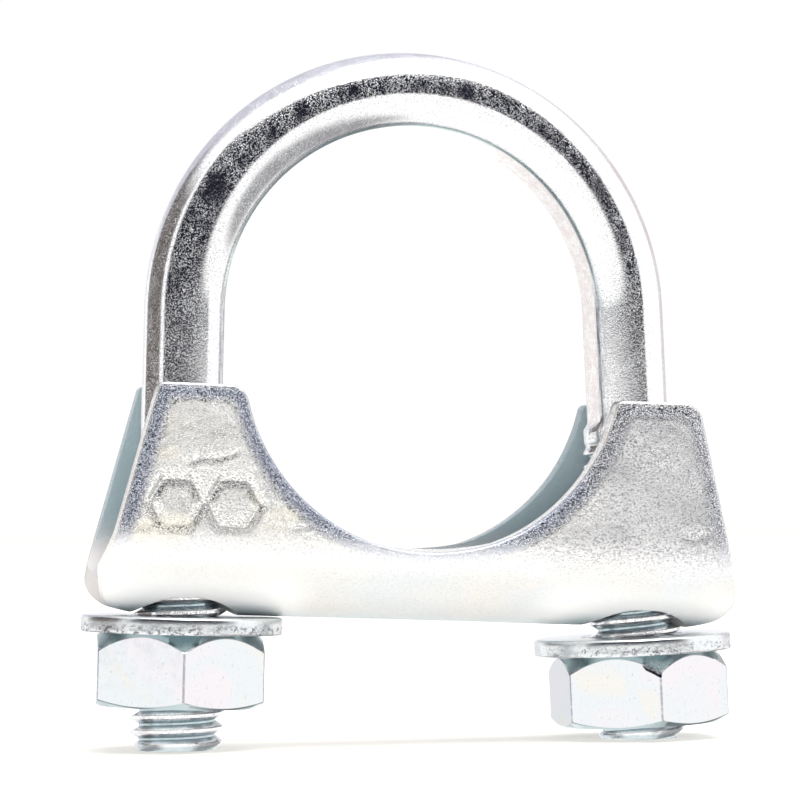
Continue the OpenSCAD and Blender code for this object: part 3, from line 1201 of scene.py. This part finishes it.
CAMERA_AZIMUTH = math.radians(-12.71)
CAMERA_ELEVATION = math.radians(-1.64)
CAMERA_ROLL = math.radians(-0.66)
CAMERA_DISTANCE = 380.0
CAMERA_TARGET = (-0.82, 0.0, -8.63)
FOCAL_LENGTH = 163.8
SENSOR = 36.0


def add_camera():
    """Camera at the photograph's angle, slightly below the object's middle."""
    a, e = CAMERA_AZIMUTH, CAMERA_ELEVATION
    back = Vector((math.sin(a) * math.cos(e), -math.cos(a) * math.cos(e), math.sin(e)))
    right = Vector((math.cos(a), math.sin(a), 0))
    up = back.cross(right)
    c, s = math.cos(CAMERA_ROLL), math.sin(CAMERA_ROLL)
    right, up = right * c + up * s, up * c - right * s
    data = bpy.data.cameras.new("camera")
    data.lens = FOCAL_LENGTH
    data.sensor_width = SENSOR
    data.clip_start = 0.01
    data.clip_end = 20
    camera = bpy.data.objects.new("camera", data)
    spot = (Vector(CAMERA_TARGET) + back * CAMERA_DISTANCE) * MM
    turn = Matrix((right, up, back)).transposed().to_4x4()
    camera.matrix_world = Matrix.Translation(spot) @ turn
    bpy.context.scene.collection.objects.link(camera)
    bpy.context.scene.camera = camera


def add_floor():
    """Plain pale table that the leg ends stand on."""
    size = 3.0
    mesh = bpy.data.meshes.new("floor")
    z = FOOT_Z * MM - 1e-5
    mesh.from_pydata(
        [(-size, -size, z), (size, -size, z), (size, size, z), (-size, size, z)],
        [],
        [(0, 1, 2, 3)],
    )
    material = bpy.data.materials.new("floor_white")
    material.use_nodes = True
    shader = material.node_tree.nodes["Principled BSDF"]
    shader.inputs["Base Color"].default_value = (0.92, 0.88, 0.81, 1)
    shader.inputs["Roughness"].default_value = 0.9
    shader.inputs["Specular IOR Level"].default_value = 0.0
    shader.inputs["Emission Color"].default_value = (1, 1, 1, 1)
    shader.inputs["Emission Strength"].default_value = 0.3
    mesh.materials.append(material)
    floor = bpy.data.objects.new("floor", mesh)
    floor.visible_glossy = False
    floor.visible_shadow = False
    bpy.context.scene.collection.objects.link(floor)


TABLE_LIGHT = (1.35, 1.34, 1.32)
BACKDROP_LIGHT = (1.35, 1.35, 1.35)


def add_world():
    """White studio with a dark room beyond the front of the table."""
    world = bpy.data.worlds.new("studio")
    bpy.context.scene.world = world
    world.use_nodes = True
    world.node_tree.nodes.clear()
    n = Tree(world.node_tree)
    parts = n.new("SeparateXYZ")
    n.link(n.new("TexCoord").outputs["Generated"], parts.inputs[0])
    x, y, z = parts.outputs
    front = n.math("ARCTAN2", x, n.math("MULTIPLY", y, -1.0))
    rear = n.math("ARCTAN2", x, y)
    elevation = n.math("ARCSINE", z)

    def between(angle, low, high, soft_low, soft_high):
        above = n.ramp(angle, math.radians(low - soft_low), math.radians(low + soft_low))
        past = n.ramp(angle, math.radians(high - soft_high), math.radians(high + soft_high))
        return n.math("MULTIPLY", above, n.math("SUBTRACT", 1.0, past))

    def patch(azimuth, left, right, low, high, soft_side, soft_low, soft_high):
        sides = between(azimuth, left, right, soft_side, soft_side)
        return n.math("MULTIPLY", sides, between(elevation, low, high, soft_low, soft_high))

    table_edge = n.ramp(elevation, math.radians(-0.8), math.radians(0.4))
    light = n.mix(table_edge, TABLE_LIGHT, BACKDROP_LIGHT)
    # Behind the table: a grey upper wall, a shade at table height, a warm grey board.
    light = n.mix(patch(rear, -60, 30, 14, 118, 14, 7, 9), light, (0.70, 0.70, 0.78))
    light = n.mix(patch(rear, -26, 3, -30, 14, 3, 3, 3), light, (0.99, 0.99, 1.01))
    light = n.mix(patch(rear, 27, 62, -2, 30, 4, 2, 6), light, (0.78, 0.73, 0.74))
    # In front of it: the dark room, and a less dark stretch to its left.
    light = n.mix(patch(front, -141, -83, 0.2, 40, 2.5, 1.0, 8), light, (0.13, 0.11, 0.10))
    light = n.mix(patch(front, -72, 50, 1.0, 54, 2.5, 0.6, 4), light, (0.02, 0.022, 0.035))
    # Below: grey beside the table's middle.
    for side, left, right in ((front, 34, 84), (rear, -82, -28), (rear, 28, 82)):
        light = n.mix(patch(side, left, right, -66, -12, 12, 9, 4), light, (0.37, 0.37, 0.38))
    studio = n.new("Background")
    n.link(light, studio.inputs["Color"])
    plain = n.new("Background")
    plain.inputs["Color"].default_value = (1.02, 1.02, 1.02, 1)
    chosen = n.new("MixShader")
    n.link(n.new("LightPath").outputs["Is Camera Ray"], chosen.inputs["Fac"])
    n.link(studio.outputs[0], chosen.inputs[1])
    n.link(plain.outputs[0], chosen.inputs[2])
    n.link(chosen.outputs[0], n.new("OutputWorld").inputs["Surface"])


def add_light(name, spot, target, size, power, mirrored=True):
    """Soft square light that faces a target. It shows in reflections only if mirrored."""
    data = bpy.data.lights.new(name, "AREA")
    data.size = size
    data.energy = power
    light = bpy.data.objects.new(name, data)
    aim = Vector(target) - Vector(spot)
    turn = aim.to_track_quat("-Z", "Y").to_matrix().to_4x4()
    light.matrix_world = Matrix.Translation(Vector(spot)) @ turn
    light.visible_camera = False
    light.visible_glossy = mirrored
    bpy.context.scene.collection.objects.link(light)


add_world()
add_floor()
add_camera()
add_light("top_light", (0.1, -0.15, 0.9), (0, 0, 0), 0.7, 6.0)
add_light("front_glow", (-0.12, -0.68, -0.03), (0, 0, -0.02), 0.5, 5.8, False)
bpy.context.scene.view_settings.view_transform = "Standard"

build_rod(rod_zinc())
build_saddle(sheet_zinc())
washer_material = washer_zinc()
nut_material = nut_zinc()
for side_name in SIDES:
    build_washer(side_name, washer_material)
    build_nut(side_name, nut_material)
